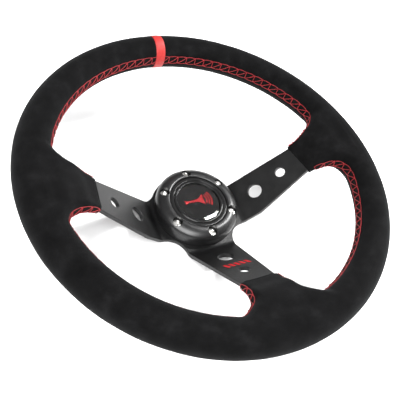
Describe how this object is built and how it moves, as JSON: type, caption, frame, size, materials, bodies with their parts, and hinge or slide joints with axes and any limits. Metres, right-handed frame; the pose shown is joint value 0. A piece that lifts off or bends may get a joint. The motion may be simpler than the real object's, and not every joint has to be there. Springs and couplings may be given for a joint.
{
  "type": "quick release steering wheel",
  "caption": "Deep-dish steering wheel with bent metal spokes, a laced suede rim, a screwed trim ring and a press-down horn button, for a quick-release hub.",
  "frame": {"origin": "centre of the hub's flat back face, on the steering axis", "axes": "+Z along the steering axis towards the driver, +Y towards the red marker at the top of the rim, +X towards the driver's right-hand spoke"},
  "size_m": [0.35, 0.3503, 0.0927],
  "materials": {
    "black_paint": "bent aluminium plate with semi-gloss black textured powder coat",
    "black_ring": "satin black painted aluminium",
    "hoop_steel": "plain steel",
    "spring_steel": "bright spring wire",
    "screw_steel": "bright zinc-plated socket screws",
    "foam": "moulded polyurethane foam",
    "suede": "black suede with a short brushed nap",
    "red_leather": "smooth red leather",
    "black_plastic": "gloss black ABS",
    "emblem": "printed black disc",
    "clear_resin": "clear domed resin",
    "fibre_board": "brown insulating board",
    "brass": "plain brass"
  },
  "bodies": {
    "wheel": {"spoke_frame": "black_paint", "rim_hoop": "hoop_steel", "spoke_rivet_1": "hoop_steel", "spoke_rivet_2": "hoop_steel", "spoke_rivet_3": "hoop_steel", "spoke_rivet_4": "hoop_steel", "spoke_rivet_5": "hoop_steel", "spoke_rivet_6": "hoop_steel", "foam_grip": "foam", "suede_cover": "suede", "centre_marker": "red_leather", "trim_ring": "black_ring", "hub_screw_1": "screw_steel", "hub_screw_2": "screw_steel", "hub_screw_3": "screw_steel", "hub_screw_4": "screw_steel", "hub_screw_5": "screw_steel", "hub_screw_6": "screw_steel", "horn_housing": "black_plastic", "retaining_ring": "hoop_steel", "insulator_board": "fibre_board", "fixed_contact": "brass", "contact_terminal": "brass", "spring_terminal": "brass", "return_spring": "spring_steel"},
    "horn_button": {"horn_cap": "black_plastic", "emblem_disc": "emblem", "emblem_dome": "clear_resin", "moving_contact": "brass"}
  },
  "joints": [
    {"name": "horn_press", "type": "slide", "parent": "wheel", "child": "horn_button", "axis": [0, 0, -1], "range_m": [0, 0.0025], "stiffness_N_per_m": 2500, "springref_m": -0.003, "deforming": ["return_spring"]}
  ]
}
